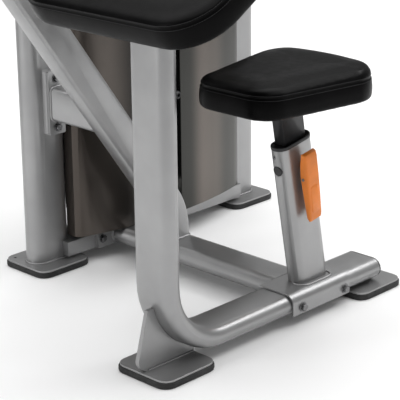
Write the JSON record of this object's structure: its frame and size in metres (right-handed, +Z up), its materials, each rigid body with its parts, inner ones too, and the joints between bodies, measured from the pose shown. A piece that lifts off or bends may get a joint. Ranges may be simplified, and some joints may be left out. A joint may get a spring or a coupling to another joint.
{
  "type": "seated arm curl machine",
  "caption": "Gym machine with a slanted arm pad and a small seat on a bent oval-tube frame, a pivoting curl handle, and a shrouded selector weight tower.",
  "frame": {"origin": "bottom centre of the machine's bounding box, on the floor", "axes": "+Z up; +X from the weight tower to the user's seat; +Y from the handles to the rear of the tower, so the user faces -Y"},
  "size_m": [1.028, 1.5896, 1.392],
  "materials": {
    "frame_paint": "satin silver-grey powder coat",
    "black_paint": "satin black powder coat",
    "bright_steel": "ground and plated",
    "bolt_steel": "dark zinc plate",
    "black_rubber": "matt moulded rubber",
    "pad_vinyl": "black upholstery vinyl, fine grain",
    "smoked_plastic": "dark smoked, glossy",
    "black_plastic": "fine texture",
    "orange_plastic": "satin moulded"
  },
  "bodies": {
    "frame": {"arm_pad": "pad_vinyl", "arm_pad_bracket": "black_paint", "base_beam": "frame_paint", "belt": "black_rubber", "belt_drop": "black_rubber", "foot_plate_front": "frame_paint", "foot_plate_seat": "frame_paint", "front_shroud_left": "smoked_plastic", "front_shroud_right": "smoked_plastic", "guide_rod_front": "bright_steel", "guide_rod_rear": "bright_steel", "lever_pivot_pin": "bolt_steel", "link_beam": "frame_paint", "link_bolt_front": "bolt_steel", "link_bolt_rear": "bolt_steel", "mast": "frame_paint", "pivot_bearing_left": "bright_steel", "pivot_bearing_right": "bright_steel", "pivot_housing": "frame_paint", "post_collar": "black_plastic", "pulley_bracket_front": "frame_paint", "pulley_bracket_rear": "frame_paint", "rear_shroud": "smoked_plastic", "resting_plates": "black_paint", "rubber_foot_front": "black_rubber", "rubber_foot_seat": "black_rubber", "rubber_foot_tower_front": "black_rubber", "rubber_foot_tower_rear": "black_rubber", "saddle_bolt_front": "bolt_steel", "saddle_bolt_rear": "bolt_steel", "saddle_bracket": "frame_paint", "seat_frame_end_cap": "black_plastic", "seat_frame_tube": "frame_paint", "seat_post": "frame_paint", "stack_bumper_front": "black_rubber", "stack_bumper_rear": "black_rubber", "stub_bolt_high": "bolt_steel", "stub_bolt_low": "bolt_steel", "stub_tube": "frame_paint", "top_beam": "frame_paint", "top_cover": "black_plastic", "upright_front": "frame_paint", "upright_rear": "frame_paint"},
    "seat": {"seat_carrier": "black_paint", "seat_pad": "pad_vinyl"},
    "seat_lever": {"seat_lever": "orange_plastic"},
    "lock_pin": {"lock_pin": "bright_steel"},
    "curl_arm": {"curl_shaft": "bright_steel", "cam": "black_paint", "cam_belt": "black_rubber", "lever_arm": "frame_paint", "handle_bar": "black_paint", "grip_left": "black_rubber", "grip_right": "black_rubber"},
    "lifted_stack": {"lifted_plates": "black_paint", "head_plate": "black_paint", "selector_rod": "bright_steel"},
    "selector_pin": {"selector_pin": "bolt_steel"},
    "pulley_front": {"pulley_front": "black_plastic"},
    "pulley_rear": {"pulley_rear": "black_plastic"}
  },
  "joints": [
    {"name": "seat_height", "type": "slide", "parent": "frame", "child": "seat", "axis": [0, -0.1822, 0.9833], "range_m": [-0.06, 0.1]},
    {"name": "seat_lever_tilt", "type": "hinge", "parent": "frame", "child": "seat_lever", "pos_m": [0.2935, 0.21488, 0.334], "axis": [0, -0.9833, -0.1822], "range_deg": [0, 10], "stiffness_Nm_per_rad": 1.2, "springref_deg": -20.05},
    {"name": "lock_pin_slide", "type": "slide", "parent": "frame", "child": "lock_pin", "axis": [1, 0, 0], "range_m": [0, 0.0075]},
    {"name": "curl", "type": "hinge", "parent": "frame", "child": "curl_arm", "pos_m": [-0.085, -0.305, 0.885], "axis": [-1, 0, 0], "range_deg": [0, 105]},
    {"name": "stack_lift", "type": "slide", "parent": "frame", "child": "lifted_stack", "axis": [0, 0, 1], "range_m": [0, 0.172], "deforming": ["belt_drop"]},
    {"name": "pulley_front_turn", "type": "hinge", "parent": "frame", "child": "pulley_front", "pos_m": [-0.394, -0.1664, 1.325], "axis": [1, 0, 0], "range_deg": [-5, 215]},
    {"name": "pulley_rear_turn", "type": "hinge", "parent": "frame", "child": "pulley_rear", "pos_m": [-0.394, 0.3237, 1.325], "axis": [1, 0, 0], "range_deg": [-5, 215]},
    {"name": "selector_pin_pull", "type": "slide", "parent": "lifted_stack", "child": "selector_pin", "axis": [1, 0, 0], "range_m": [0, 0.05]}
  ],
  "couplings": [
    {"joint": "lock_pin_slide", "follows": "seat_lever_tilt", "m_per_rad": 0.035},
    {"joint": "stack_lift", "follows": "curl", "m_per_rad": 0.0918},
    {"joint": "pulley_front_turn", "follows": "curl", "ratio": 1.9615},
    {"joint": "pulley_rear_turn", "follows": "curl", "ratio": 1.9615}
  ]
}
